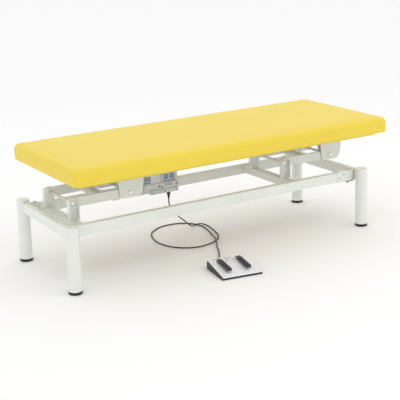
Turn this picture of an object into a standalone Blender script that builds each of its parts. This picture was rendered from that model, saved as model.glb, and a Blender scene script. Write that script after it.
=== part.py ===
"""Examination couch with an electric lift: a padded top carried on four swinging arms over a legged base.

Metres, +Z up, +X along the couch. Near is -Y and far is +Y, left is -X and right is +X.
Places are given from the centre of the base, at the middle of the four legs on the floor.
"""
import math

import bmesh
import bpy
from mathutils import Vector

# Centre of the base, so that couch and foot switch together are centred on the origin.
BASE_CENTRE = (-0.0469, 0.10755, 0.0)
GAP = 0.0003
ROUND_STEPS = 32
# How far a cutting or trimming solid runs past what it cuts.
MARGIN = 0.010
ACROSS = (-0.2, 0.2)

# Legs and base rails
LEG_X = 0.82
LEG_Y = 0.2745
LEG_RADIUS = 0.03025
LEG_WALL = 0.0025
LEG_TOP = 0.303
CAP_THICKNESS = 0.004
FOOT_HEIGHT = 0.013
FOOT_RADIUS = 0.0312
RAIL_WIDTH = 0.030
RAIL_HEIGHT = 0.050
RAIL_WALL = 0.0025
RAIL_CORNER = 0.003
END_RAIL_Z = 0.270
SIDE_RAIL_Y = 0.222
SIDE_RAIL_Z = 0.268
SOCKET_LENGTH = {"left": 0.0385, "right": 0.112}
SOCKET_WALL = 0.0027
BOLT_FROM_END_RAIL = {"left": 0.022, "right": 0.032}
BOLT_RADIUS = 0.005
BOLT_HEAD_RADIUS = 0.0085
BOLT_HEAD_HEIGHT = 0.006
BOLT_TAIL = 0.010
THROUGH_RAILS = (0.2, 0.35)

# Lift: two sets of arms, each on posts over a cross rail
LIFT_X = {"left": -0.745, "right": 0.435}
PIVOT_Z = 0.366
ARM_LENGTH = 0.295
ARM_HEIGHT = 0.044
ARM_THICKNESS = 0.012
ARM_Y = 0.1147
ARM_TUBE_FROM_PIVOT = 0.155
ARM_TUBE_RADIUS = 0.016
ARM_TUBE_BORE = 0.0125
LIFT_RAIL_SIZE = 0.040
LIFT_RAIL_Z = 0.269
POST_WIDTH = 0.049
POST_DEPTH = 0.026
POST_WALL = 0.004
POST_INNER_Y = 0.124
POST_TOP = 0.388
SHAFT_RADIUS = 0.007
SHAFT_CLEARANCE = 0.0003
SHAFT_HEAD_RADIUS = 0.010
SHAFT_HEAD_LENGTH = 0.005

# Brackets that hang from the top frame and carry the upper pivots
BRACKET_REACH = (-0.062, 0.077)
BRACKET_TAPER = 0.010
BRACKET_INNER_Y = 0.1004
BRACKET_OUTER_Y = 0.1294
BRACKET_WALL = 0.005
BRACKET_BELOW_PIVOT = 0.025
BRACKET_TOP = 0.4431
BRACKET_CORNERS = (0.012, 0.034)

# Top frame, board and cushion
TOP_CENTRE_X = 0.055
CUSHION_SIZE = (1.78, 0.70, 0.080)
CUSHION_BOTTOM = 0.4933
CUSHION_ROUND = 0.022
BOARD_THICKNESS = 0.015
BOARD_INSET = 0.055
TOP_RAIL_Y = 0.115
TOP_RAIL_INSET = 0.120
TOP_CROSS_X = {"actuator": -0.145, "head": 0.480}
TOP_CROSS_WIDTH = 0.040

# Actuator that swings the left arms
LEVER_RADIUS = 0.050
LEVER_ANGLE = math.radians(-120.0)
LEVER_THICKNESS = 0.010
LEVER_PIN_RADIUS = 0.004
LEVER_PIN_HEAD = (0.006, 0.003)
LEVER_RING = 0.007
LEVER_END_RADIUS = 0.011
LIFT_ANGLE = math.radians(60.0)
ROD_RADIUS = 0.010
ROD_INNER_END = -0.300
FORK_CHEEK = 0.006
FORK_GAP = 0.0015
FORK_HALF_HEIGHT = 0.015
FORK_FRONT = 0.012
FORK_BACK = 0.020
FORK_WEB = 0.010
SLOT_PLAY = (0.0010, 0.0012)
HOUSING_X = (-0.285, -0.125)
HOUSING_HALF = 0.024
SLEEVE_RADIUS = 0.018
SLEEVE_FRONT = -0.385
BORE_END = -0.235
BORE_CLEARANCE = 0.0004
MOTOR_RADIUS = 0.0225
MOTOR_X = (-0.280, -0.165)
HANGER_HALF = (0.014, 0.018)
CONTROL_BOX_LOW = (-0.352, -0.088, 0.345)
CONTROL_BOX_HIGH = (-0.180, -0.034, 0.4777)

# Cable and its plug
CABLE_DIAMETER = 0.006
PLUG_AT = (-0.172, 0.0)
PLUG_LENGTH = 0.015
RELIEF_LENGTH = 0.021
PLUG_RADIUS = 0.009
RELIEF_RADII = (0.0065, 0.0042)
CABLE_STEP = 0.0225
CABLE_ON_FLOOR = 0.0034
CABLE_OVER_CABLE = 0.0100
# The stretch before this place is lifted when the couch rises, and the rest stays on the floor.
CABLE_HELD_AT = (0.147, 0.085, 0.0034)
CABLE_JOINT_GAP = 0.0005

# Foot switch, in its own frame: the middle of its back edge on the floor, +y towards the couch
SWITCH_AT = (-0.0841, -0.3689)
SWITCH_TURN = math.radians(-9.3)
SWITCH_WIDTH = 0.202
SWITCH_DEPTH = 0.180
SWITCH_BACK_HEIGHT = 0.036
SWITCH_FRONT_HEIGHT = 0.010
COVER_THICKNESS = 0.005
COVER_LEFT_INSET = 0.005
COVER_OVERHANG = 0.002
PEDAL_X = {"left": -0.054, "right": 0.043}
PEDAL_WIDTH = 0.024
PEDAL_PIVOT_BACK = 0.040
PEDAL_PIVOT_UP = 0.010
PEDAL_LENGTH = 0.116
PEDAL_SHAFT_RADIUS = 0.0025
LUG_WIDTH = 0.006
LUG_X = (-0.077, -0.0055, 0.066)
SWITCH_CABLE_X = -0.024
SWITCH_CABLE_Z = 0.016

STEEL = ("off_white_steel", (0.78, 0.79, 0.74), 0.38, 0.0)
RUBBER = ("black_rubber", (0.03, 0.03, 0.03), 0.75, 0.0)
ZINC = ("zinc_plated_steel", (0.62, 0.62, 0.60), 0.35, 0.9)
PLASTIC_GREY = ("light_grey_plastic", (0.66, 0.67, 0.66), 0.45, 0.0)
PLASTIC_BLACK = ("black_plastic", (0.035, 0.035, 0.038), 0.5, 0.0)
PLASTIC_WHITE = ("white_plastic", (0.84, 0.84, 0.87), 0.4, 0.0)
UPHOLSTERY = ("yellow_upholstery", (0.86, 0.68, 0.09), 0.5, 0.0)
PLYWOOD = ("plywood", (0.62, 0.46, 0.29), 0.7, 0.0)

SIDES = {"near": -1.0, "far": 1.0}
ENDS = {"left": -1.0, "right": 1.0}


def clear_scene():
    for item in list(bpy.data.objects):
        bpy.data.objects.remove(item, do_unlink=True)


def material(look):
    """One Principled material for each look, shared by the objects that wear it."""
    name, colour, roughness, metallic = look
    found = bpy.data.materials.get(name)
    if found:
        return found
    made = bpy.data.materials.new(name)
    made.use_nodes = True
    shader = made.node_tree.nodes["Principled BSDF"]
    shader.inputs["Base Color"].default_value = (*colour, 1.0)
    shader.inputs["Roughness"].default_value = roughness
    shader.inputs["Metallic"].default_value = metallic
    return made


def add_empty(name, location, turn=0.0, parent=None):
    empty = bpy.data.objects.new(name, None)
    bpy.context.collection.objects.link(empty)
    empty.location = location
    empty.rotation_euler = (0.0, 0.0, turn)
    empty.parent = parent
    return empty


def add_object(name, bm, look, parent, origin=(0.0, 0.0, 0.0)):
    """Turns a bmesh drawn in its parent's frame into an object whose origin is at origin."""
    bmesh.ops.translate(bm, verts=bm.verts, vec=-Vector(origin))
    bmesh.ops.recalc_face_normals(bm, faces=bm.faces)
    mesh = bpy.data.meshes.new(name)
    bm.to_mesh(mesh)
    bm.free()
    mesh.materials.append(material(look))
    mesh.shade_smooth()
    mesh.set_sharp_from_angle(angle=math.radians(35.0))
    made = bpy.data.objects.new(name, mesh)
    bpy.context.collection.objects.link(made)
    made.location = origin
    made.parent = parent
    return made


def boolean(target, operation, bm):
    """Applies a hidden tool solid, drawn in target's parent frame, to target."""
    tool = add_object(f"{target.name}_tool", bm, STEEL, target.parent)
    tool.hide_render = True
    tool.display_type = "WIRE"
    modifier = target.modifiers.new(operation.lower(), "BOOLEAN")
    modifier.operation = operation
    modifier.solver = "EXACT"
    modifier.object = tool


def placed(axis, across, up, along):
    """A point from two coordinates across an axis and one along it."""
    if axis == "X":
        return Vector((along, across, up))
    if axis == "Y":
        return Vector((across, along, up))
    return Vector((across, up, along))


def box(low, high, round_by=0.0, segments=2):
    bm = bmesh.new()
    bmesh.ops.create_cube(bm, size=1.0)
    size = Vector(high) - Vector(low)
    centre = (Vector(high) + Vector(low)) / 2
    bmesh.ops.scale(bm, verts=bm.verts, vec=size)
    bmesh.ops.translate(bm, verts=bm.verts, vec=centre)
    if round_by:
        bmesh.ops.bevel(bm, geom=bm.edges[:], offset=round_by, segments=segments, profile=0.5, affect="EDGES")
    return bm


def prism(outline, axis, start, end):
    """A solid with one outline, drawn across an axis, from start to end along it."""
    bm = bmesh.new()
    first = [bm.verts.new(placed(axis, a, b, start)) for a, b in outline]
    last = [bm.verts.new(placed(axis, a, b, end)) for a, b in outline]
    bm.faces.new(first)
    bm.faces.new(last)
    for index in range(len(outline)):
        after = (index + 1) % len(outline)
        bm.faces.new((first[index], first[after], last[after], last[index]))
    return bm


def hollow_prism(outer, inner, axis, start, end):
    """An open tube between two outlines that have the same number of points."""
    bm = bmesh.new()
    rings = [
        [bm.verts.new(placed(axis, a, b, along)) for a, b in outline]
        for outline, along in ((outer, start), (outer, end), (inner, end), (inner, start))
    ]
    for ring, next_ring in zip(rings, rings[1:] + rings[:1]):
        for index in range(len(outer)):
            after = (index + 1) % len(outer)
            bm.faces.new((ring[index], ring[after], next_ring[after], next_ring[index]))
    return bm


def arc(centre, radius, start, end, steps):
    """Points on an arc, angles in degrees."""
    points = []
    for step in range(steps + 1):
        angle = math.radians(start + (end - start) * step / steps)
        points.append((centre[0] + radius * math.cos(angle), centre[1] + radius * math.sin(angle)))
    return points


def rounded_rectangle(centre, width, height, radius, steps=2):
    half_w = width / 2 - radius
    half_h = height / 2 - radius
    points = []
    for corner, (sx, sy) in enumerate(((1, 1), (-1, 1), (-1, -1), (1, -1))):
        middle = (centre[0] + sx * half_w, centre[1] + sy * half_h)
        points += arc(middle, radius, 90.0 * corner, 90.0 * corner + 90.0, steps)
    return points


def box_tube(centre, width, height, wall, axis, start, end):
    outer = rounded_rectangle(centre, width, height, RAIL_CORNER)
    inner = rounded_rectangle(centre, width - 2 * wall, height - 2 * wall, RAIL_CORNER / 3)
    return hollow_prism(outer, inner, axis, start, end)


def turned(profile, axis, centre, steps=ROUND_STEPS):
    """A solid turned about a line along an axis. The profile's points are (radius, place along the axis).

    A profile that starts and ends at radius 0 gives a solid piece, and any other closes on itself.
    """
    bm = bmesh.new()
    rings = []
    for radius, along in profile:
        if radius == 0.0:
            rings.append([bm.verts.new(placed(axis, *centre, along))])
            continue
        ring = []
        for a, b in arc(centre, radius, 0.0, 360.0, steps)[:-1]:
            ring.append(bm.verts.new(placed(axis, a, b, along)))
        rings.append(ring)
    pairs = list(zip(rings, rings[1:]))
    if profile[0][0] > 0.0:
        pairs.append((rings[-1], rings[0]))
    for ring, next_ring in pairs:
        for index in range(steps):
            after = (index + 1) % steps
            corners = [ring[index % len(ring)], ring[after % len(ring)]]
            corners += [next_ring[after % len(next_ring)], next_ring[index % len(next_ring)]]
            bm.faces.new(dict.fromkeys(corners))
    return bm


def rod(radius, axis, centre, start, end, steps=ROUND_STEPS):
    return turned([(0.0, start), (radius, start), (radius, end), (0.0, end)], axis, centre, steps)


def drilled_plate(outline, holes, axis, start, end, steps=20):
    """A plate with round holes, each ((across, up), radius)."""
    bm = bmesh.new()
    loops = [outline] + [arc(centre, radius, 0.0, 360.0, steps)[:-1] for centre, radius in holes]
    edges = []
    for loop in loops:
        verts = [bm.verts.new(placed(axis, a, b, start)) for a, b in loop]
        for index, vert in enumerate(verts):
            edges.append(bm.edges.new((vert, verts[(index + 1) % len(verts)])))
    bmesh.ops.triangle_fill(bm, edges=edges, use_beauty=True)
    made = bmesh.ops.extrude_face_region(bm, geom=bm.faces[:])
    moved = [item for item in made["geom"] if isinstance(item, bmesh.types.BMVert)]
    shift = placed(axis, 0.0, 0.0, end) - placed(axis, 0.0, 0.0, start)
    bmesh.ops.translate(bm, verts=moved, vec=shift)
    return bm


def link_outline(first, first_radius, second, second_radius, steps=8):
    """The outline of a flat link: two round ends joined by their outer tangents."""
    across = Vector(second) - Vector(first)
    heading = math.degrees(math.atan2(across.y, across.x))
    lean = math.degrees(math.acos((first_radius - second_radius) / across.length))
    points = arc(second, second_radius, heading - lean, heading + lean, steps)
    points += arc(first, first_radius, heading + lean, heading + 360.0 - lean, steps)
    return points


def smooth_route(points, step):
    """Evenly spaced points on a Catmull-Rom curve through the route's own points."""
    route = [Vector(point) for point in points]
    route = [2 * route[0] - route[1]] + route + [2 * route[-1] - route[-2]]
    fine = []
    for before, start, end, after in zip(route, route[1:], route[2:], route[3:]):
        for part in range(24):
            t = part / 24
            bend = 2 * before - 5 * start + 4 * end - after
            twist = 3 * start - before - 3 * end + after
            fine.append(start + 0.5 * t * ((end - before) + t * (bend + t * twist)))
    fine.append(route[-2])
    travelled = [0.0]
    for a, b in zip(fine, fine[1:]):
        travelled.append(travelled[-1] + (b - a).length)
    count = round(travelled[-1] / step)
    even = []
    index = 0
    for number in range(count + 1):
        wanted = travelled[-1] * number / count
        while index < len(fine) - 2 and travelled[index + 1] < wanted:
            index += 1
        share = (wanted - travelled[index]) / (travelled[index + 1] - travelled[index])
        even.append(fine[index].lerp(fine[index + 1], min(share, 1.0)))
    return even


def cable(name, route, parent):
    curve = bpy.data.curves.new(name, "CURVE")
    curve.dimensions = "3D"
    curve.bevel_depth = CABLE_DIAMETER / 2
    curve.bevel_resolution = 2
    curve.use_fill_caps = True
    spline = curve.splines.new("POLY")
    spline.points.add(len(route) - 1)
    for place, point in zip(spline.points, route):
        place.co = (*point, 1.0)
    curve.materials.append(material(PLASTIC_BLACK))
    made = bpy.data.objects.new(name, curve)
    bpy.context.collection.objects.link(made)
    made.parent = parent


def build_legs(base):
    for end_name, end in ENDS.items():
        for side_name, side in SIDES.items():
            where = f"{side_name}_{end_name}"
            centre = (end * LEG_X, side * LEG_Y)
            bore = LEG_RADIUS - LEG_WALL
            tube = [(LEG_RADIUS, FOOT_HEIGHT), (LEG_RADIUS, LEG_TOP), (bore, LEG_TOP), (bore, FOOT_HEIGHT)]
            add_object(f"leg_{where}", turned(tube, "Z", centre), STEEL, base)
            cap_top = LEG_TOP + CAP_THICKNESS
            cap = [
                (0.0, LEG_TOP + GAP),
                (LEG_RADIUS, LEG_TOP + GAP),
                (LEG_RADIUS, cap_top - 0.0015),
                (LEG_RADIUS - 0.0015, cap_top),
                (0.0, cap_top),
            ]
            add_object(f"leg_cap_{where}", turned(cap, "Z", centre), STEEL, base)
            foot = [
                (0.0, 0.0),
                (FOOT_RADIUS - 0.002, 0.0),
                (FOOT_RADIUS, 0.002),
                (FOOT_RADIUS, 0.010),
                (FOOT_RADIUS - 0.002, FOOT_HEIGHT - GAP),
                (bore - GAP, FOOT_HEIGHT - GAP),
                (bore - GAP, FOOT_HEIGHT + 0.020),
                (0.0, FOOT_HEIGHT + 0.020),
            ]
            add_object(f"foot_{where}", turned(foot, "Z", centre), RUBBER, base)


def bolt_places(end_name):
    """The upright bolts that hold the two side rails in the sockets of one end rail."""
    x = ENDS[end_name] * (LEG_X - RAIL_WIDTH / 2 - BOLT_FROM_END_RAIL[end_name])
    return {side_name: (x, side * SIDE_RAIL_Y) for side_name, side in SIDES.items()}


def build_base_rails(base):
    half_height = RAIL_HEIGHT / 2
    inner_face = LEG_X - RAIL_WIDTH / 2
    for end_name, end in ENDS.items():
        rail = add_object(
            f"end_rail_{end_name}",
            box_tube((end * LEG_X, END_RAIL_Z), RAIL_WIDTH, RAIL_HEIGHT, RAIL_WALL, "Y", -LEG_Y, LEG_Y),
            STEEL,
            base,
        )
        for side_name, side in SIDES.items():
            centre = (side * SIDE_RAIL_Y, SIDE_RAIL_Z)
            outer_w = RAIL_WIDTH + 2 * (GAP + SOCKET_WALL)
            outer_h = RAIL_HEIGHT + 2 * (GAP + SOCKET_WALL)
            reach = sorted((end * (inner_face + 0.001), end * (inner_face - SOCKET_LENGTH[end_name])))
            boolean(rail, "UNION", box_tube(centre, outer_w, outer_h, SOCKET_WALL, "X", *reach))
            leg = (end * LEG_X, side * LEG_Y)
            boolean(rail, "DIFFERENCE", rod(LEG_RADIUS + GAP, "Z", leg, *THROUGH_RAILS))
            hole = bolt_places(end_name)[side_name]
            boolean(rail, "DIFFERENCE", rod(BOLT_RADIUS + GAP, "Z", hole, *THROUGH_RAILS, 16))
    side_end = inner_face - GAP
    for side_name, side in SIDES.items():
        centre = (side * SIDE_RAIL_Y, SIDE_RAIL_Z)
        rail = add_object(
            f"side_rail_{side_name}",
            box_tube(centre, RAIL_WIDTH, RAIL_HEIGHT, RAIL_WALL, "X", -side_end, side_end),
            STEEL,
            base,
        )
        for end_name in ENDS:
            hole = bolt_places(end_name)[side_name]
            boolean(rail, "DIFFERENCE", rod(BOLT_RADIUS + GAP, "Z", hole, *THROUGH_RAILS, 16))
    socket_half = half_height + GAP + SOCKET_WALL
    top = SIDE_RAIL_Z + socket_half + GAP
    bottom = SIDE_RAIL_Z - socket_half - GAP
    for end_name in ENDS:
        for side_name, centre in bolt_places(end_name).items():
            shape = [
                (0.0, bottom - BOLT_HEAD_HEIGHT - BOLT_TAIL),
                (BOLT_RADIUS, bottom - BOLT_HEAD_HEIGHT - BOLT_TAIL),
                (BOLT_RADIUS, bottom - BOLT_HEAD_HEIGHT),
                (BOLT_HEAD_RADIUS, bottom - BOLT_HEAD_HEIGHT),
                (BOLT_HEAD_RADIUS, bottom),
                (BOLT_RADIUS, bottom),
                (BOLT_RADIUS, top),
                (BOLT_HEAD_RADIUS, top),
                (BOLT_HEAD_RADIUS, top + BOLT_HEAD_HEIGHT),
                (0.0, top + BOLT_HEAD_HEIGHT),
            ]
            add_object(f"rail_bolt_{side_name}_{end_name}", turned(shape, "Z", centre, 18), ZINC, base)


def headed_shaft(centre, outer_y):
    """A cross shaft with a head beyond each outer face that it passes through."""
    head = outer_y + SHAFT_HEAD_LENGTH
    profile = [
        (0.0, -head),
        (SHAFT_HEAD_RADIUS, -head),
        (SHAFT_HEAD_RADIUS, -outer_y),
        (SHAFT_RADIUS, -outer_y),
        (SHAFT_RADIUS, outer_y),
        (SHAFT_HEAD_RADIUS, outer_y),
        (SHAFT_HEAD_RADIUS, head),
        (0.0, head),
    ]
    return turned(profile, "Y", centre, 20)


def build_lift_posts(base, end_name):
    x = LIFT_X[end_name]
    rail_reach = SIDE_RAIL_Y - RAIL_WIDTH / 2 - GAP
    cross = box_tube((x, LIFT_RAIL_Z), LIFT_RAIL_SIZE, LIFT_RAIL_SIZE, RAIL_WALL, "Y", -rail_reach, rail_reach)
    add_object(f"lift_rail_{end_name}", cross, STEEL, base)
    bottom = LIFT_RAIL_Z + LIFT_RAIL_SIZE / 2 + GAP
    for side_name, side in SIDES.items():
        web = side * (POST_INNER_Y + POST_WALL)
        outside = side * (POST_INNER_Y + POST_DEPTH)
        inside = side * POST_INNER_Y
        left = x - POST_WIDTH / 2
        right = x + POST_WIDTH / 2
        channel = [
            (left, outside),
            (left + POST_WALL, outside),
            (left + POST_WALL, web),
            (right - POST_WALL, web),
            (right - POST_WALL, outside),
            (right, outside),
            (right, inside),
            (left, inside),
        ]
        post = add_object(f"lift_post_{side_name}_{end_name}", prism(channel, "Z", bottom, POST_TOP), STEEL, base)
        round_top = POST_WIDTH / 3
        outline = [(left - MARGIN, bottom - MARGIN), (right + MARGIN, bottom - MARGIN)]
        outline += [(right + MARGIN, POST_TOP - round_top)]
        outline += arc((right - round_top, POST_TOP - round_top), round_top, 0.0, 90.0, 5)
        outline += arc((left + round_top, POST_TOP - round_top), round_top, 90.0, 180.0, 5)
        outline += [(left - MARGIN, POST_TOP - round_top)]
        boolean(post, "INTERSECT", prism(outline, "Y", *ACROSS))
        boolean(post, "DIFFERENCE", rod(SHAFT_RADIUS + GAP, "Y", (x, PIVOT_Z), *ACROSS, 20))
    shaft = headed_shaft((x, PIVOT_Z), POST_INNER_Y + POST_WALL + GAP)
    add_object(f"lower_pivot_shaft_{end_name}", shaft, ZINC, base, (x, 0.0, PIVOT_Z))


def build_arms(base, end_name):
    x = LIFT_X[end_name]
    pivot = (x, PIVOT_Z)
    tip = (x + ARM_LENGTH, PIVOT_Z)
    tube = (x + ARM_TUBE_FROM_PIVOT, PIVOT_Z)
    origin = (x, 0.0, PIVOT_Z)
    half = ARM_THICKNESS / 2
    radius = ARM_HEIGHT / 2
    outline = arc(tip, radius, -90.0, 90.0, 10) + arc(pivot, radius, 90.0, 270.0, 10)
    bore = SHAFT_RADIUS + SHAFT_CLEARANCE
    for side_name, side in SIDES.items():
        reach = sorted((side * (ARM_Y - half), side * (ARM_Y + half)))
        arm = drilled_plate(outline, [(pivot, bore), (tip, bore)], "Y", *reach)
        add_object(f"lift_arm_{side_name}_{end_name}", arm, STEEL, base, origin)
    end = ARM_Y - half - GAP
    ring = [(ARM_TUBE_RADIUS, -end), (ARM_TUBE_RADIUS, end), (ARM_TUBE_BORE, end), (ARM_TUBE_BORE, -end)]
    add_object(f"arm_cross_tube_{end_name}", turned(ring, "Y", tube, 24), STEEL, base, origin)


def build_brackets(base, end_name):
    x = LIFT_X[end_name] + ARM_LENGTH
    low = PIVOT_Z - BRACKET_BELOW_PIVOT
    start, end = x + BRACKET_REACH[0], x + BRACKET_REACH[1]
    low_start, low_end = start + BRACKET_TAPER, end - BRACKET_TAPER
    small, large = BRACKET_CORNERS
    outline = [(start, BRACKET_TOP)]
    outline += arc((low_start + small, low + small), small, 180.0, 270.0, 4)
    outline += arc((low_end - large, low + large), large, 270.0, 360.0, 8)
    outline += [(end, BRACKET_TOP), (end, BRACKET_TOP + MARGIN), (start, BRACKET_TOP + MARGIN)]
    for side_name, side in SIDES.items():
        inner = side * BRACKET_INNER_Y
        outer = side * BRACKET_OUTER_Y
        inner_ear = side * (BRACKET_INNER_Y + BRACKET_WALL)
        outer_ear = side * (BRACKET_OUTER_Y - BRACKET_WALL)
        web = BRACKET_TOP - BRACKET_WALL
        channel = [
            (inner, low - MARGIN),
            (inner_ear, low - MARGIN),
            (inner_ear, web),
            (outer_ear, web),
            (outer_ear, low - MARGIN),
            (outer, low - MARGIN),
            (outer, BRACKET_TOP),
            (inner, BRACKET_TOP),
        ]
        shape = prism(channel, "X", start - MARGIN, end + MARGIN)
        bracket = add_object(f"top_bracket_{side_name}_{end_name}", shape, STEEL, base)
        boolean(bracket, "INTERSECT", prism(outline, "Y", *ACROSS))
        boolean(bracket, "DIFFERENCE", rod(SHAFT_RADIUS + GAP, "Y", (x, PIVOT_Z), *ACROSS, 20))
    shaft = headed_shaft((x, PIVOT_Z), BRACKET_OUTER_Y + GAP)
    add_object(f"upper_pivot_shaft_{end_name}", shaft, ZINC, base, (x, 0.0, PIVOT_Z))


def build_top(base):
    half_x = CUSHION_SIZE[0] / 2
    half_y = CUSHION_SIZE[1] / 2
    board_top = CUSHION_BOTTOM - GAP
    board_bottom = board_top - BOARD_THICKNESS
    low = (TOP_CENTRE_X - half_x, -half_y, CUSHION_BOTTOM)
    high = (TOP_CENTRE_X + half_x, half_y, CUSHION_BOTTOM + CUSHION_SIZE[2])
    add_object("cushion", box(low, high, CUSHION_ROUND, 3), UPHOLSTERY, base)
    low = (TOP_CENTRE_X - half_x + BOARD_INSET, -half_y + BOARD_INSET, board_bottom)
    high = (TOP_CENTRE_X + half_x - BOARD_INSET, half_y - BOARD_INSET, board_top)
    add_object("top_board", box(low, high, 0.002, 1), PLYWOOD, base)
    rail_top = board_bottom - GAP
    rail_bottom = BRACKET_TOP + GAP
    height = rail_top - rail_bottom
    middle = (rail_top + rail_bottom) / 2
    start = TOP_CENTRE_X - half_x + TOP_RAIL_INSET
    end = TOP_CENTRE_X + half_x - TOP_RAIL_INSET
    for side_name, side in SIDES.items():
        rail = box_tube((side * TOP_RAIL_Y, middle), RAIL_WIDTH, height, RAIL_WALL, "X", start, end)
        add_object(f"top_rail_{side_name}", rail, STEEL, base)
    reach = TOP_RAIL_Y - RAIL_WIDTH / 2 - GAP
    for name, x in TOP_CROSS_X.items():
        member = box_tube((x, middle), TOP_CROSS_WIDTH, height, RAIL_WALL, "Y", -reach, reach)
        add_object(f"top_cross_member_{name}", member, STEEL, base)


def lever_end(swing):
    """Where the lever's pin is, from the upper pivot of the left arms, after the arms swing up."""
    angle = LEVER_ANGLE + swing
    return Vector((LEVER_RADIUS * math.cos(angle), LEVER_RADIUS * math.sin(angle)))


def build_actuator(base):
    upper = Vector((LIFT_X["left"] + ARM_LENGTH, PIVOT_Z))
    pin = upper + lever_end(0.0)
    lowest = (upper + lever_end(LIFT_ANGLE / 2)).y
    axis_z = (pin.y + lowest) / 2
    slot_half = LEVER_PIN_RADIUS + (pin.y - lowest) / 2 + SLOT_PLAY[1]
    arms_origin = (LIFT_X["left"], 0.0, PIVOT_Z)

    tube = (LIFT_X["left"] + ARM_TUBE_FROM_PIVOT, PIVOT_Z)
    half = LEVER_THICKNESS / 2
    outline = link_outline(tube, ARM_TUBE_RADIUS + LEVER_RING, pin, LEVER_END_RADIUS)
    holes = [(tube, ARM_TUBE_RADIUS + GAP), (tuple(pin), LEVER_PIN_RADIUS + GAP)]
    add_object("actuator_lever", drilled_plate(outline, holes, "Y", -half, half), STEEL, base, arms_origin)

    cheek = half + FORK_GAP + FORK_CHEEK
    head = cheek + SLOT_PLAY[0]
    head_radius, head_length = LEVER_PIN_HEAD
    profile = [
        (0.0, -head - head_length),
        (head_radius, -head - head_length),
        (head_radius, -head),
        (LEVER_PIN_RADIUS, -head),
        (LEVER_PIN_RADIUS, head),
        (head_radius, head),
        (head_radius, head + head_length),
        (0.0, head + head_length),
    ]
    add_object("actuator_lever_pin", turned(profile, "Y", tuple(pin), 16), ZINC, base, arms_origin)

    fork_back = pin.x + FORK_BACK
    low = (pin.x - FORK_FRONT, -cheek, axis_z - FORK_HALF_HEIGHT)
    high = (fork_back + FORK_WEB, cheek, axis_z + FORK_HALF_HEIGHT)
    shaft = add_object("actuator_rod", box(low, high, 0.002, 1), ZINC, base, (pin.x, 0.0, axis_z))
    boolean(shaft, "UNION", rod(ROD_RADIUS, "X", (0.0, axis_z), fork_back, ROD_INNER_END, 20))
    room = half + FORK_GAP
    low = (pin.x - FORK_FRONT - MARGIN, -room, axis_z - FORK_HALF_HEIGHT - MARGIN)
    high = (fork_back, room, axis_z + FORK_HALF_HEIGHT + MARGIN)
    boolean(shaft, "DIFFERENCE", box(low, high))
    slot_width = 2 * (LEVER_PIN_RADIUS + SLOT_PLAY[0])
    slot = rounded_rectangle((pin.x, axis_z), slot_width, 2 * slot_half, LEVER_PIN_RADIUS, 5)
    boolean(shaft, "DIFFERENCE", prism(slot, "Y", *ACROSS))

    low = (HOUSING_X[0], -HOUSING_HALF, axis_z - HOUSING_HALF)
    high = (HOUSING_X[1], HOUSING_HALF, axis_z + HOUSING_HALF)
    housing = add_object("actuator_housing", box(low, high, 0.008, 3), PLASTIC_GREY, base)
    sleeve = rod(SLEEVE_RADIUS, "X", (0.0, axis_z), SLEEVE_FRONT, HOUSING_X[0] + MARGIN, 28)
    boolean(housing, "UNION", sleeve)
    hanger_x, hanger_y = HANGER_HALF
    low = (TOP_CROSS_X["actuator"] - hanger_x, -hanger_y, axis_z)
    high = (TOP_CROSS_X["actuator"] + hanger_x, hanger_y, BRACKET_TOP)
    boolean(housing, "UNION", box(low, high))
    bore = rod(ROD_RADIUS + BORE_CLEARANCE, "X", (0.0, axis_z), SLEEVE_FRONT - MARGIN, BORE_END, 20)
    boolean(housing, "DIFFERENCE", bore)

    motor_y = HOUSING_HALF + GAP + MOTOR_RADIUS
    end_round = 0.005
    profile = [
        (0.0, MOTOR_X[0]),
        (MOTOR_RADIUS - end_round, MOTOR_X[0]),
        (MOTOR_RADIUS, MOTOR_X[0] + end_round),
        (MOTOR_RADIUS, MOTOR_X[1] - end_round),
        (MOTOR_RADIUS - end_round, MOTOR_X[1]),
        (0.0, MOTOR_X[1]),
    ]
    add_object("actuator_motor", turned(profile, "X", (motor_y, axis_z), 28), PLASTIC_GREY, base)
    control = box(CONTROL_BOX_LOW, CONTROL_BOX_HIGH, 0.003, 2)
    add_object("control_box", control, PLASTIC_GREY, base)
    return axis_z - HOUSING_HALF


def build_plug(base, underside):
    """The foot switch's plug under the actuator housing. Returns where the cable leaves it."""
    top = underside - GAP
    collar = top - PLUG_LENGTH
    tip = collar - RELIEF_LENGTH
    wide, narrow = RELIEF_RADII
    profile = [(0.0, top), (PLUG_RADIUS, top), (PLUG_RADIUS, collar), (wide, collar - 0.002), (narrow, tip), (0.0, tip)]
    add_object("cable_plug", turned(profile, "Z", PLUG_AT, 20), PLASTIC_BLACK, base)
    return (*PLUG_AT, tip - GAP)


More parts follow.
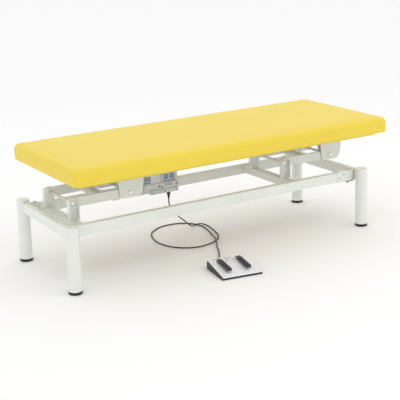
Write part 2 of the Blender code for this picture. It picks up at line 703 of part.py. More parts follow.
def build_cables(base, leaves, switch_entry):
    """One cable from the plug to the foot switch, made as the stretch that lifts and the stretch that stays."""
    floor = CABLE_ON_FLOOR
    over = CABLE_OVER_CABLE
    points = [
        leaves,
        (-0.172, 0.000, 0.245),
        (-0.166, 0.006, 0.222),
        (-0.146, 0.025, 0.190),
        (-0.110, 0.056, 0.158),
        (-0.062, 0.094, 0.121),
        (-0.008, 0.140, 0.081),
        (0.044, 0.183, 0.040),
        (0.086, 0.2165, 0.0125),
        (0.112, 0.2265, over - 0.001),
        (0.136, 0.2335, over),
        (0.156, 0.229, over - 0.002),
        (0.168, 0.209, floor + 0.001),
        (0.168, 0.178, floor),
        (0.159, 0.135, floor),
        CABLE_HELD_AT,
        (0.124, 0.022, floor),
        (0.082, -0.031, floor),
        (0.020, -0.062, floor),
        (-0.050, -0.070, floor),
        (-0.112, -0.045, floor),
        (-0.160, 0.012, floor),
        (-0.181, 0.095, floor),
        (-0.166, 0.190, floor),
        (-0.127, 0.266, floor),
        (-0.058, 0.318, floor),
        (0.022, 0.332, floor),
        (0.085, 0.311, floor),
        (0.122, 0.274, floor),
        (0.138, 0.236, floor),
        (0.141, 0.203, floor),
        (0.134, 0.150, floor),
        (0.115, 0.080, floor),
        (0.099, 0.030, floor + 0.002),
        (0.084, -0.006, over - 0.001),
        (0.070, -0.037, over),
        (0.053, -0.071, over - 0.002),
        (0.020, -0.130, floor + 0.0005),
        (-0.016, -0.200, floor),
        (-0.060, -0.268, floor + 0.002),
        (-0.0890, -0.305, floor + 0.0085),
        (-0.1022, -0.3305, switch_entry[2]),
        switch_entry,
    ]
    route = smooth_route(points, CABLE_STEP)
    held_at = Vector(CABLE_HELD_AT)
    cut = min(range(len(route)), key=lambda index: (route[index] - held_at).length)
    held = route[cut]
    heading = (route[cut + 1] - held).normalized()
    cable("cable_drop", route[: cut + 1], base)
    cable("cable_floor", [held + CABLE_JOINT_GAP * heading] + route[cut + 1 :], base)


def cover_point(back, up):
    """A point in the foot switch's side view, from its distance back to front and height over the cover."""
    slope = math.atan2(SWITCH_BACK_HEIGHT - SWITCH_FRONT_HEIGHT, SWITCH_DEPTH)
    start_z = SWITCH_BACK_HEIGHT + GAP + COVER_THICKNESS
    y = -back * math.cos(slope) + up * math.sin(-slope)
    z = start_z - back * math.sin(slope) + up * math.cos(slope)
    return (y, z)


def build_foot_switch(switch):
    half = SWITCH_WIDTH / 2
    body = [(0.0, 0.0), (-SWITCH_DEPTH, 0.0), (-SWITCH_DEPTH, SWITCH_FRONT_HEIGHT), (0.0, SWITCH_BACK_HEIGHT)]
    base = add_object("foot_switch_base", prism(body, "X", -half, half), PLASTIC_BLACK, switch)
    bevel = base.modifiers.new("edges", "BEVEL")
    bevel.width = 0.0015
    bevel.segments = 2

    slope_length = math.hypot(SWITCH_DEPTH, SWITCH_BACK_HEIGHT - SWITCH_FRONT_HEIGHT)
    front = slope_length + COVER_OVERHANG
    plate = [
        cover_point(-COVER_OVERHANG, -COVER_THICKNESS),
        cover_point(front, -COVER_THICKNESS),
        cover_point(front, 0.0),
        cover_point(-COVER_OVERHANG, 0.0),
    ]
    cover = add_object(
        "foot_switch_cover",
        prism(plate, "X", -half + COVER_LEFT_INSET, half + COVER_OVERHANG),
        PLASTIC_WHITE,
        switch,
    )
    pivot = cover_point(PEDAL_PIVOT_BACK, PEDAL_PIVOT_UP)
    lug = [cover_point(PEDAL_PIVOT_BACK - 0.008, -0.002), cover_point(PEDAL_PIVOT_BACK + 0.008, -0.002)]
    lug += [cover_point(PEDAL_PIVOT_BACK + 0.005, PEDAL_PIVOT_UP + 0.005)]
    lug += [cover_point(PEDAL_PIVOT_BACK - 0.005, PEDAL_PIVOT_UP + 0.005)]
    for x in LUG_X:
        boolean(cover, "UNION", prism(lug, "X", x - LUG_WIDTH / 2, x + LUG_WIDTH / 2))
    shaft_hole = rod(PEDAL_SHAFT_RADIUS + GAP, "X", pivot, LUG_X[0] - 0.01, LUG_X[2] + 0.01, 14)
    boolean(cover, "DIFFERENCE", shaft_hole)
    reach = LUG_WIDTH / 2 + 0.002
    shaft = rod(PEDAL_SHAFT_RADIUS, "X", pivot, LUG_X[0] - reach, LUG_X[2] + reach, 14)
    add_object("pedal_shaft", shaft, ZINC, switch)

    tip = PEDAL_PIVOT_BACK + PEDAL_LENGTH
    outline = [
        cover_point(PEDAL_PIVOT_BACK - 0.006, PEDAL_PIVOT_UP + 0.003),
        cover_point(PEDAL_PIVOT_BACK - 0.006, PEDAL_PIVOT_UP - 0.004),
        cover_point(PEDAL_PIVOT_BACK - 0.002, PEDAL_PIVOT_UP - 0.007),
        cover_point(tip - 0.002, 0.010),
        cover_point(tip, 0.012),
        cover_point(tip, 0.023),
        cover_point(tip - 0.004, 0.026),
        cover_point(PEDAL_PIVOT_BACK, PEDAL_PIVOT_UP + 0.007),
    ]
    for name, x in PEDAL_X.items():
        reach = (x - PEDAL_WIDTH / 2, x + PEDAL_WIDTH / 2)
        pedal = drilled_plate(outline, [(pivot, PEDAL_SHAFT_RADIUS + GAP)], "X", *reach, 14)
        add_object(f"pedal_{name}", pedal, PLASTIC_BLACK, switch, (x, *pivot))


def main():
    clear_scene()
    base = add_empty("couch", BASE_CENTRE)
    build_legs(base)
    build_base_rails(base)
    for end_name in ENDS:
        build_lift_posts(base, end_name)
        build_arms(base, end_name)
        build_brackets(base, end_name)
    build_top(base)
    underside = build_actuator(base)
    leaves = build_plug(base, underside)
    switch = add_empty("foot_switch", (*SWITCH_AT, 0.0), SWITCH_TURN, base)
    build_foot_switch(switch)
    along = (math.cos(SWITCH_TURN), math.sin(SWITCH_TURN))
    entry = (
        SWITCH_AT[0] + SWITCH_CABLE_X * along[0] - 2 * GAP * along[1],
        SWITCH_AT[1] + SWITCH_CABLE_X * along[1] + 2 * GAP * along[0],
        SWITCH_CABLE_Z,
    )
    build_cables(base, leaves, entry)


main()
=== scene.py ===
"""Examination couch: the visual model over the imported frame.

Metres, +Z up. Near is -Y and far is +Y, left is -X and right is +X.
"""
import math

import bmesh
import bpy
from mathutils import Matrix, Quaternion, Vector


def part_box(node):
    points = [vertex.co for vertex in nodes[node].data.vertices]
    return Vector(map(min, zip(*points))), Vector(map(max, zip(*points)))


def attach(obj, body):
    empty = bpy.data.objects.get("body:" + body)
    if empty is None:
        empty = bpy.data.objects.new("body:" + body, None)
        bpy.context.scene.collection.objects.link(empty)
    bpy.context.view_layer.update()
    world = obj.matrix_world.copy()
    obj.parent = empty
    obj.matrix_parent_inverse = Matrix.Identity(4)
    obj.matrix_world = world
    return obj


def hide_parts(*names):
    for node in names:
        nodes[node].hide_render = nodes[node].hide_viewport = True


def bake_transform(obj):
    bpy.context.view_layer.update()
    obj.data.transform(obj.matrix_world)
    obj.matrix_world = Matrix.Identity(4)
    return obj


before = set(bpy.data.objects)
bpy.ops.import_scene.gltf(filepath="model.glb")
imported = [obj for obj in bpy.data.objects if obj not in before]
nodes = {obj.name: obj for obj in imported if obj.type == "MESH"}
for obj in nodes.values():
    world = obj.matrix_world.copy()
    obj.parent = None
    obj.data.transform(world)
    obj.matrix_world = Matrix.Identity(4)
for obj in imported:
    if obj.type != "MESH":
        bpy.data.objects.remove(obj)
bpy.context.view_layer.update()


def middle(*names):
    """The centre of the box around some nodes."""
    corners = [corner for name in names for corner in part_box(name)]
    low = Vector(map(min, *corners))
    high = Vector(map(max, *corners))
    return (low + high) / 2


legs = middle("leg_near_left", "leg_far_right")
CENTRE = Vector((legs.x, legs.y, 0.0))


def at(x, y, z):
    """A place given from the centre of the base."""
    return CENTRE + Vector((x, y, z))


# ---------------------------------------------------------------- camera

CAMERA_AT = (-2.634, -4.2975, 1.6816)
CAMERA_YAW = math.radians(31.69)
CAMERA_PITCH = math.radians(-12.5)
CAMERA_ROLL = math.radians(-1.70)

forward = Vector((
    math.sin(CAMERA_YAW) * math.cos(CAMERA_PITCH),
    math.cos(CAMERA_YAW) * math.cos(CAMERA_PITCH),
    math.sin(CAMERA_PITCH),
))
lens = bpy.data.cameras.new("camera")
lens.sensor_width = 36.0
lens.lens = 94.46
lens.shift_y = -0.169
camera = bpy.data.objects.new("camera", lens)
bpy.context.scene.collection.objects.link(camera)
camera.location = at(*CAMERA_AT)
camera.rotation_mode = "QUATERNION"
camera.rotation_quaternion = forward.to_track_quat("-Z", "Y") @ Quaternion((0, 0, 1), CAMERA_ROLL)
bpy.context.scene.camera = camera


# ---------------------------------------------------------------- materials

def shader_graph(name):
    made = bpy.data.materials.new(name)
    made.use_nodes = True
    tree = made.node_tree
    return made, tree, tree.nodes["Principled BSDF"]


def texture(tree, kind, scale, stretch=None, **settings):
    """A texture node in the piece's own coordinates."""
    place = tree.nodes.new("ShaderNodeTexCoord")
    node = tree.nodes.new(kind)
    source = place.outputs["Object"]
    if stretch:
        mapping = tree.nodes.new("ShaderNodeMapping")
        mapping.inputs["Scale"].default_value = stretch
        tree.links.new(source, mapping.inputs["Vector"])
        source = mapping.outputs["Vector"]
    tree.links.new(source, node.inputs["Vector"])
    node.inputs["Scale"].default_value = scale
    for key, value in settings.items():
        if key in node.inputs:
            node.inputs[key].default_value = value
        else:
            setattr(node, key, value)
    return node


def ramp(tree, source, low, high, low_at=0.3, high_at=0.7):
    """A two-colour ramp driven by a texture's value."""
    node = tree.nodes.new("ShaderNodeValToRGB")
    first, last = node.color_ramp.elements
    first.position, last.position = low_at, high_at
    first.color = (*low, 1.0)
    last.color = (*high, 1.0)
    tree.links.new(source, node.inputs["Fac"])
    return node.outputs["Color"]


def grey(value):
    return (value, value, value)


def bump(tree, shader, heights):
    """Chains bump nodes, each (source, strength, distance), into the shader's normal."""
    normal = None
    for source, strength, distance in heights:
        node = tree.nodes.new("ShaderNodeBump")
        node.inputs["Strength"].default_value = strength
        node.inputs["Distance"].default_value = distance
        tree.links.new(source, node.inputs["Height"])
        if normal:
            tree.links.new(normal, node.inputs["Normal"])
        normal = node.outputs["Normal"]
    tree.links.new(normal, shader.inputs["Normal"])


def powder_coat(name, colour, shade, roughness):
    """Sprayed powder paint: an orange-peel skin, slightly uneven in colour and gloss."""
    made, tree, shader = shader_graph(name)
    cloud = texture(tree, "ShaderNodeTexNoise", 7.0, Detail=4.0)
    tree.links.new(ramp(tree, cloud.outputs["Fac"], shade, colour), shader.inputs["Base Color"])
    rub = texture(tree, "ShaderNodeTexNoise", 45.0, Detail=6.0, Roughness=0.7)
    gloss = ramp(tree, rub.outputs["Fac"], grey(roughness - 0.07), grey(roughness + 0.10), 0.35, 0.75)
    tree.links.new(gloss, shader.inputs["Roughness"])
    peel = texture(tree, "ShaderNodeTexNoise", 420.0, Detail=2.0)
    wave = texture(tree, "ShaderNodeTexNoise", 60.0, Detail=1.0)
    bump(tree, shader, [(wave.outputs["Fac"], 0.10, 0.0006), (peel.outputs["Fac"], 0.22, 0.0002)])
    shader.inputs["Specular IOR Level"].default_value = 0.5
    shader.inputs["Coat Weight"].default_value = 0.12
    shader.inputs["Coat Roughness"].default_value = 0.25
    return made


def plated(name, colour, shade, roughness):
    """Zinc plate: metal with a faint spangle and rubbed gloss."""
    made, tree, shader = shader_graph(name)
    shader.inputs["Metallic"].default_value = 0.92
    spangle = texture(tree, "ShaderNodeTexVoronoi", 240.0)
    tint = ramp(tree, spangle.outputs["Distance"], shade, colour, 0.1, 0.6)
    tree.links.new(tint, shader.inputs["Base Color"])
    rub = texture(tree, "ShaderNodeTexNoise", 320.0, Detail=5.0)
    gloss = ramp(tree, rub.outputs["Fac"], grey(roughness - 0.08), grey(roughness + 0.12))
    tree.links.new(gloss, shader.inputs["Roughness"])
    bump(tree, shader, [(rub.outputs["Fac"], 0.15, 0.0001)])
    return made


def moulded(name, colour, shade, roughness, grain, depth):
    """Moulded plastic or rubber with a spark-eroded grain."""
    made, tree, shader = shader_graph(name)
    cloud = texture(tree, "ShaderNodeTexNoise", 18.0, Detail=3.0)
    tree.links.new(ramp(tree, cloud.outputs["Fac"], shade, colour), shader.inputs["Base Color"])
    fine = texture(tree, "ShaderNodeTexNoise", grain, Detail=3.0, Roughness=0.6)
    gloss = ramp(tree, fine.outputs["Fac"], grey(roughness - 0.06), grey(roughness + 0.08))
    tree.links.new(gloss, shader.inputs["Roughness"])
    bump(tree, shader, [(fine.outputs["Fac"], 0.3, depth)])
    return made


def vinyl(name, colour, shade):
    """Coated upholstery cloth: pebbled leather grain over a soft, slightly uneven pad."""
    made, tree, shader = shader_graph(name)
    cloud = texture(tree, "ShaderNodeTexNoise", 5.0, Detail=5.0, Roughness=0.6)
    tree.links.new(ramp(tree, cloud.outputs["Fac"], shade, colour), shader.inputs["Base Color"])
    pebble = texture(tree, "ShaderNodeTexVoronoi", 620.0, feature="F1")
    crease = texture(tree, "ShaderNodeTexVoronoi", 300.0, feature="DISTANCE_TO_EDGE")
    edges = ramp(tree, crease.outputs["Distance"], grey(0.0), grey(1.0), 0.0, 0.12)
    soft = texture(tree, "ShaderNodeTexNoise", 16.0, Detail=2.0)
    gloss = ramp(tree, pebble.outputs["Distance"], grey(0.36), grey(0.50), 0.1, 0.7)
    tree.links.new(gloss, shader.inputs["Roughness"])
    bump(tree, shader, [
        (soft.outputs["Fac"], 0.20, 0.0012),
        (pebble.outputs["Distance"], 0.25, 0.00025),
        (edges, 0.18, 0.00015),
    ])
    shader.inputs["Specular IOR Level"].default_value = 0.42
    shader.inputs["Sheen Weight"].default_value = 0.05
    return made


def plywood(name):
    """Birch plywood: thin plies at the edge and long grain on the faces."""
    made, tree, shader = shader_graph(name)
    plies = texture(
        tree, "ShaderNodeTexWave", 1.0,
        stretch=(0.0, 0.0, 110.0), bands_direction="Z", Distortion=0.4,
    )
    grain = texture(
        tree, "ShaderNodeTexNoise", 14.0,
        stretch=(0.6, 14.0, 3.0), Detail=8.0, Roughness=0.65,
    )
    wood = ramp(tree, grain.outputs["Fac"], (0.40, 0.25, 0.13), (0.68, 0.50, 0.31), 0.25, 0.75)
    layer = ramp(tree, plies.outputs["Fac"], (0.30, 0.18, 0.09), (0.72, 0.54, 0.35), 0.35, 0.65)
    mix = tree.nodes.new("ShaderNodeMix")
    mix.data_type = "RGBA"
    mix.inputs["Factor"].default_value = 0.35
    # Sockets 6, 7 and 2 are the colour ones; the names are shared with the float and vector ones.
    tree.links.new(wood, mix.inputs[6])
    tree.links.new(layer, mix.inputs[7])
    tree.links.new(mix.outputs[2], shader.inputs["Base Color"])
    shader.inputs["Roughness"].default_value = 0.68
    bump(tree, shader, [(grain.outputs["Fac"], 0.3, 0.0004)])
    return made


STEEL = powder_coat("off_white_powder_coat", (0.800, 0.832, 0.786), (0.765, 0.797, 0.750), 0.40)
ZINC = plated("zinc_plate", (0.74, 0.74, 0.72), (0.60, 0.60, 0.58), 0.34)
BRIGHT = plated("bright_zinc", (0.90, 0.90, 0.87), (0.80, 0.80, 0.77), 0.24)
RUBBER = moulded("black_rubber", (0.030, 0.030, 0.030), (0.018, 0.018, 0.018), 0.72, 380.0, 0.0003)
BLACK = moulded("black_plastic", (0.030, 0.031, 0.034), (0.020, 0.021, 0.023), 0.46, 520.0, 0.0002)
PEDAL = moulded("pedal_plastic", (0.036, 0.040, 0.046), (0.024, 0.027, 0.032), 0.42, 640.0, 0.0002)
CABLE = moulded("black_cable_jacket", (0.010, 0.010, 0.011), (0.006, 0.006, 0.007), 0.55, 300.0, 0.0001)
GREY = moulded("grey_plastic", (0.66, 0.68, 0.67), (0.60, 0.62, 0.61), 0.48, 460.0, 0.0002)
DARK_GREY = moulded("dark_grey_plastic", (0.16, 0.17, 0.17), (0.12, 0.13, 0.13), 0.50, 460.0, 0.0002)
WHITE = moulded("white_plastic", (0.91, 0.915, 0.95), (0.88, 0.885, 0.92), 0.36, 700.0, 0.0001)
LABEL = moulded("blank_label", (0.50, 0.55, 0.60), (0.42, 0.47, 0.53), 0.30, 90.0, 0.00005)
PANE = moulded("blank_pane", (0.22, 0.27, 0.32), (0.17, 0.22, 0.27), 0.30, 90.0, 0.00005)
VINYL = vinyl("yellow_vinyl", (0.845, 0.650, 0.058), (0.825, 0.628, 0.052))
PLYWOOD = plywood("birch_plywood")


# ---------------------------------------------------------------- mesh helpers

def piece(name, bm, look, body, smooth=40.0):
    """Turns a bmesh in the row frame into a piece that rides on a body."""
    bmesh.ops.recalc_face_normals(bm, faces=bm.faces)
    mesh = bpy.data.meshes.new(name)
    bm.to_mesh(mesh)
    bm.free()
    mesh.materials.append(look)
    mesh.shade_smooth()
    mesh.set_sharp_from_angle(angle=math.radians(smooth))
    made = bpy.data.objects.new(name, mesh)
    bpy.context.scene.collection.objects.link(made)
    if body:
        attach(made, body)
    return made


def add_box(bm, low, high, round_by, segments):
    """Adds a box with rounded edges to a bmesh."""
    part = bmesh.new()
    bmesh.ops.create_cube(part, size=1.0)
    size = Vector(high) - Vector(low)
    bmesh.ops.scale(part, verts=part.verts, vec=size)
    bmesh.ops.translate(part, verts=part.verts, vec=(Vector(high) + Vector(low)) / 2)
    bmesh.ops.bevel(
        part, geom=part.edges[:], offset=round_by, segments=segments, profile=0.5, affect="EDGES",
    )
    merge(bm, part)


def merge(bm, part, turn=None):
    """Moves one bmesh into another, turned by a matrix if there is one."""
    if turn is not None:
        bmesh.ops.transform(part, matrix=turn, verts=part.verts)
    copy = bpy.data.meshes.new("part")
    part.to_mesh(copy)
    part.free()
    bm.from_mesh(copy)
    bpy.data.meshes.remove(copy)


def basis(axis, origin):
    """A matrix that takes local +Z to an axis and the local origin to a place."""
    turn = Vector(axis).to_track_quat("Z", "Y").to_matrix().to_4x4()
    return Matrix.Translation(origin) @ turn


def unit_circle(steps):
    """The cosine and sine of evenly spaced angles."""
    angles = [2 * math.pi * step / steps for step in range(steps)]
    return [(math.cos(angle), math.sin(angle)) for angle in angles]


def round_outline(centre_x, centre_y, half_x, half_y, radius, steps):
    """The (x, y) points of a rectangle with round corners."""
    outline = []
    for sx, sy, start in ((1, 1, 0), (-1, 1, 90), (-1, -1, 180), (1, -1, 270)):
        corner_x = centre_x + sx * (half_x - radius)
        corner_y = centre_y + sy * (half_y - radius)
        for step in range(steps + 1):
            angle = math.radians(start + 90.0 * step / steps)
            outline.append((corner_x + radius * math.cos(angle), corner_y + radius * math.sin(angle)))
    return outline


def skin(bm, rings, closed=False, capped=True):
    """Joins rings of vertices with faces, then closes the loop or caps both ends."""
    pairs = list(zip(rings, rings[1:]))
    if closed:
        pairs.append((rings[-1], rings[0]))
    for ring, other in pairs:
        for index in range(len(ring)):
            after = (index + 1) % len(ring)
            bm.faces.new((ring[index], ring[after], other[after], other[index]))
    if capped and not closed:
        bm.faces.new(rings[0])
        bm.faces.new(rings[-1])


def add_turned(bm, profile, axis, origin, steps):
    """Adds a solid turned about an axis. Profile points are (radius, place along the axis)."""
    part = bmesh.new()
    rings = []
    for radius, along in profile:
        if radius == 0.0:
            rings.append([part.verts.new((0.0, 0.0, along))])
        else:
            rings.append([part.verts.new((radius * x, radius * y, along)) for x, y in unit_circle(steps)])
    pairs = list(zip(rings, rings[1:]))
    if profile[0][0] > 0.0:
        pairs.append((rings[-1], rings[0]))
    for ring, other in pairs:
        for index in range(steps):
            after = (index + 1) % steps
            corners = [ring[index % len(ring)], ring[after % len(ring)]]
            corners += [other[after % len(other)], other[index % len(other)]]
            part.faces.new(dict.fromkeys(corners))
    merge(bm, part, basis(axis, origin))


def add_tube(bm, path, radius_at, sides=12, closed=False):
    """Adds a tube along a path. radius_at gives the radius at each path index."""
    frames = []
    normal = None
    count = len(path)
    for index, point in enumerate(path):
        before = path[index - 1] if index or closed else point
        after = path[(index + 1) % count] if index < count - 1 or closed else point
        ahead = (after - before).normalized()
        if normal is None:
            normal = ahead.orthogonal().normalized()
        normal = (normal - ahead * normal.dot(ahead)).normalized()
        frames.append((point, normal, ahead.cross(normal)))
    circle = unit_circle(sides)
    rings = []
    for index, (point, normal, side) in enumerate(frames):
        radius = radius_at(index)
        rings.append([bm.verts.new(point + radius * (x * normal + y * side)) for x, y in circle])
    skin(bm, rings, closed)


def spaced(points, step, closed=False):
    """Evenly spaced points along straight runs between points."""
    corners = [Vector(point) for point in points]
    if closed:
        corners.append(corners[0])
    path = []
    for start, end in zip(corners, corners[1:]):
        count = max(1, round((end - start).length / step))
        path += [start.lerp(end, part / count) for part in range(count)]
    if not closed:
        path.append(corners[-1])
    return path


UP = (0, 0, 1)
SQUARE = ((-1, -1), (-1, 1), (1, 1), (1, -1))
WELD_STEP = 0.0013


def add_weld(bm, points, closed=False, size=0.0022):
    """Adds a weld bead: a low tube with the ripples of the weld pool."""
    def ripple(index):
        return size * (1.0 + 0.16 * math.sin(index * 1.9) + 0.05 * math.sin(index * 0.7))

    add_tube(bm, spaced(points, WELD_STEP, closed), ripple, 8, closed)


def add_disc(bm, origin, axis, radius, start, end, steps):
    """Adds a plain round disc or shank between two places along its axis."""
    add_turned(bm, [(0.0, start), (radius, start), (radius, end), (0.0, end)], axis, origin, steps)


def add_screw(bm, origin, axis, radius, height):
    """Adds a domed cap with a round socket."""
    profile = [(0.0, 0.0), (radius, 0.0), (radius, height * 0.6)]
    profile += [(radius * 0.82, height), (radius * 0.5, height)]
    profile += [(radius * 0.45, height * 0.35), (0.0, height * 0.35)]
    add_turned(bm, profile, axis, origin, 24)


def add_hexagon(bm, origin, axis, across, low, high):
    """Adds a hexagon head or nut with turned corners."""
    radius = across / 2 / math.cos(math.pi / 6)
    profile = [(0.0, low), (radius * 0.93, low), (radius, low + 0.0008), (radius, high - 0.0008)]
    profile += [(radius * 0.93, high), (0.0, high)]
    add_turned(bm, profile, axis, origin, 6)


# ---------------------------------------------------------------- cable

CABLE_RADIUS = 0.003
CABLE_STEP = 0.006
# At this place on the way the cable is cut into the stretch that hangs from the plug and the stretch that
# lies on the floor.
# It was chosen so that the raised cable keeps clear of the side rail.
FLOOR_Z = 0.0034
OVER_Z = 0.0100
HELD_AT = Vector((0.147, 0.085, FLOOR_Z))
PLUG_TIP = (-0.172, 0.0, 0.25898)
SWITCH_ENTRY = (-0.1077, -0.3644, 0.016)
ROUTE = [
    PLUG_TIP,
    (-0.172, 0.000, 0.245),
    (-0.166, 0.006, 0.222),
    (-0.146, 0.025, 0.190),
    (-0.110, 0.056, 0.158),
    (-0.062, 0.094, 0.121),
    (-0.008, 0.140, 0.081),
    (0.044, 0.183, 0.040),
    (0.086, 0.2165, 0.0125),
    (0.112, 0.2265, OVER_Z - 0.001),
    (0.136, 0.2335, OVER_Z),
    (0.156, 0.229, OVER_Z - 0.002),
    (0.168, 0.209, FLOOR_Z + 0.001),
    (0.168, 0.178, FLOOR_Z),
    (0.159, 0.135, FLOOR_Z),
    tuple(HELD_AT),
    (0.124, 0.022, FLOOR_Z),
    (0.082, -0.031, FLOOR_Z),
    (0.020, -0.062, FLOOR_Z),
    (-0.050, -0.070, FLOOR_Z),
    (-0.112, -0.045, FLOOR_Z),
    (-0.160, 0.012, FLOOR_Z),
    (-0.181, 0.095, FLOOR_Z),
    (-0.166, 0.190, FLOOR_Z),
    (-0.127, 0.266, FLOOR_Z),
    (-0.058, 0.318, FLOOR_Z),
    (0.022, 0.332, FLOOR_Z),
    (0.085, 0.311, FLOOR_Z),
    (0.122, 0.274, FLOOR_Z),
    (0.138, 0.236, FLOOR_Z),
    (0.141, 0.203, FLOOR_Z),
    (0.134, 0.150, FLOOR_Z),
    (0.115, 0.080, FLOOR_Z),
    (0.099, 0.030, FLOOR_Z + 0.002),
    (0.084, -0.006, OVER_Z - 0.001),
    (0.070, -0.037, OVER_Z),
    (0.053, -0.071, OVER_Z - 0.002),
    (0.020, -0.130, FLOOR_Z + 0.0005),
    (-0.016, -0.200, FLOOR_Z),
    (-0.060, -0.268, FLOOR_Z + 0.002),
    (-0.0890, -0.305, FLOOR_Z + 0.0085),
    (-0.1022, -0.3305, SWITCH_ENTRY[2]),
    SWITCH_ENTRY,
]


def smooth_route(points, step):
    """Evenly spaced points on a Catmull-Rom curve through the route's own points."""
    route = [Vector(point) for point in points]
    route = [2 * route[0] - route[1]] + route + [2 * route[-1] - route[-2]]
    fine = []
    for before, start, end, after in zip(route, route[1:], route[2:], route[3:]):
        for part in range(24):
            t = part / 24
            bend = 2 * before - 5 * start + 4 * end - after
            twist = 3 * start - before - 3 * end + after
            fine.append(start + 0.5 * t * ((end - before) + t * (bend + t * twist)))
    fine.append(route[-2])
    travelled = [0.0]
    for a, b in zip(fine, fine[1:]):
        travelled.append(travelled[-1] + (b - a).length)
    count = round(travelled[-1] / step)
    even = []
    index = 0
    for number in range(count + 1):
        wanted = travelled[-1] * number / count
        while index < len(fine) - 2 and travelled[index + 1] < wanted:
            index += 1
        share = (wanted - travelled[index]) / (travelled[index + 1] - travelled[index])
        even.append(fine[index].lerp(fine[index + 1], min(share, 1.0)))
    return even


def make_plug():
    """The foot switch's plug under the actuator, with a ribbed strain relief."""
    low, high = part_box("cable_plug")
    bm = bmesh.new()
    collar = high.z - 0.015
    profile = [(0.0, high.z), (0.0086, high.z), (0.0090, high.z - 0.001)]
    for ridge in range(4):
        z = high.z - 0.003 - 0.0026 * ridge
        profile += [(0.0090, z), (0.0084, z - 0.0005), (0.0084, z - 0.0013), (0.0090, z - 0.0018)]
    profile += [(0.0088, collar), (0.0068, collar - 0.001)]
    for ridge in range(6):
        z = collar - 0.002 - ridge * 0.0031
        radius = 0.0066 - ridge * 0.00035
        profile += [(radius, z), (radius, z - 0.0014)]
        profile += [(radius - 0.0011, z - 0.0018), (radius - 0.0011, z - 0.0027)]
    profile += [(0.0040, low.z), (0.0, low.z)]
    axis = Vector(((low.x + high.x) / 2, (low.y + high.y) / 2, 0.0))
    add_turned(bm, profile, UP, axis, 36)
    made = piece("plug_and_relief", bm, BLACK, "top", 25.0)
    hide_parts("cable_plug")
    return made


def make_cable(plug):
    """One cable in two stretches: the first hangs from the plug and is not attached to any body, the second
    is attached to the base and stays on the floor.
    """
    route = [at(*point) for point in smooth_route(ROUTE, CABLE_STEP)]
    held_at = at(*HELD_AT)
    cut = min(range(len(route)), key=lambda index: (route[index] - held_at).length)
    lifting, lying = route[: cut + 1], route[cut:]

    bm = bmesh.new()
    add_tube(bm, lifting, lambda index: CABLE_RADIUS, 14)
    drop = piece("cable_lifting", bm, CABLE, None)
    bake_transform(drop)
    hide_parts("cable_drop")

    curve = bpy.data.curves.new("cable_lying", "CURVE")
    curve.dimensions = "3D"
    curve.bevel_depth = CABLE_RADIUS
    curve.bevel_resolution = 4
    curve.use_fill_caps = True
    spline = curve.splines.new("POLY")
    spline.points.add(len(lying) - 1)
    for place, point in zip(spline.points, lying):
        place.co = (*point, 1.0)
    curve.materials.append(CABLE)
    floor_run = bpy.data.objects.new("cable_lying", curve)
    bpy.context.scene.collection.objects.link(floor_run)
    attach(floor_run, "base")
    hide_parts("cable_floor")


make_cable(make_plug())


# ---------------------------------------------------------------- cushion

PAD_ROUND = 0.024
PAD_LOWER_ROUND = 0.010
PAD_CORNER = 0.030
PAD_SWELL = 0.0035
PAD_VOXEL = 0.009
PAD_FRAMES = 20


def pad_shape(low, high):
    """The pad before it is filled: a block with round upright corners and soft edges."""
    bm = bmesh.new()
    width, depth = high.x - low.x, high.y - low.y
    centre = (low + high) / 2
    outline = round_outline(centre.x, centre.y, width / 2, depth / 2, PAD_CORNER, 8)
    rings = []
    edges = [
        (high.z - PAD_ROUND, PAD_ROUND, 90.0, 0.0),
        (low.z + PAD_LOWER_ROUND, PAD_LOWER_ROUND, 0.0, -90.0),
    ]
    for level, radius, first, last in edges:
        for step in range(7):
            angle = math.radians(first + (last - first) * step / 6)
            inset = radius * (1 - math.cos(angle))
            height = level + radius * math.sin(angle)
            ring = []
            for x, y in outline:
                away = Vector((x - centre.x, y - centre.y))
                drawn_x = centre.x + away.x * (1.0 - inset / (width / 2))
                drawn_y = centre.y + away.y * (1.0 - inset / (depth / 2))
                ring.append(bm.verts.new((drawn_x, drawn_y, height)))
            rings.append(ring)
    skin(bm, rings)
    return bm


def apply_modifiers(made):
    """Replaces a piece's mesh with what its modifiers make of it."""
    graph = bpy.context.evaluated_depsgraph_get()
    graph.update()
    mesh = bpy.data.meshes.new_from_object(made.evaluated_get(graph))
    made.modifiers.clear()
    made.data = mesh


def fill_pad(made, low):
    """Blows the cover up a little with cloth simulation, with its underside held flat on the board."""
    scene = bpy.context.scene
    remesh = made.modifiers.new("remesh", "REMESH")
    remesh.mode = "VOXEL"
    remesh.voxel_size = PAD_VOXEL
    apply_modifiers(made)
    rest = [vert.co.copy() for vert in made.data.vertices]
    pinned = made.vertex_groups.new(name="underside")
    held = [index for index, co in enumerate(rest) if co.z < low.z + 0.006]
    pinned.add(held, 1.0, "REPLACE")
    cloth = made.modifiers.new("cloth", "CLOTH")
    cloth.settings.quality = 5
    cloth.settings.mass = 0.4
    cloth.settings.tension_stiffness = 60.0
    cloth.settings.compression_stiffness = 60.0
    cloth.settings.bending_stiffness = 2.0
    cloth.settings.use_pressure = True
    cloth.settings.uniform_pressure_force = 4.0
    cloth.settings.vertex_group_mass = "underside"
    cloth.settings.effector_weights.gravity = 0.0
    cloth.collision_settings.use_collision = False
    cloth.point_cache.frame_start = 1
    cloth.point_cache.frame_end = PAD_FRAMES
    for number in range(1, PAD_FRAMES + 1):
        scene.frame_set(number)
    apply_modifiers(made)
    for vert, start in zip(made.data.vertices, rest):
        move = vert.co - start
        if move.length > PAD_SWELL:
            vert.co = start + move.normalized() * PAD_SWELL
    scene.frame_set(1)


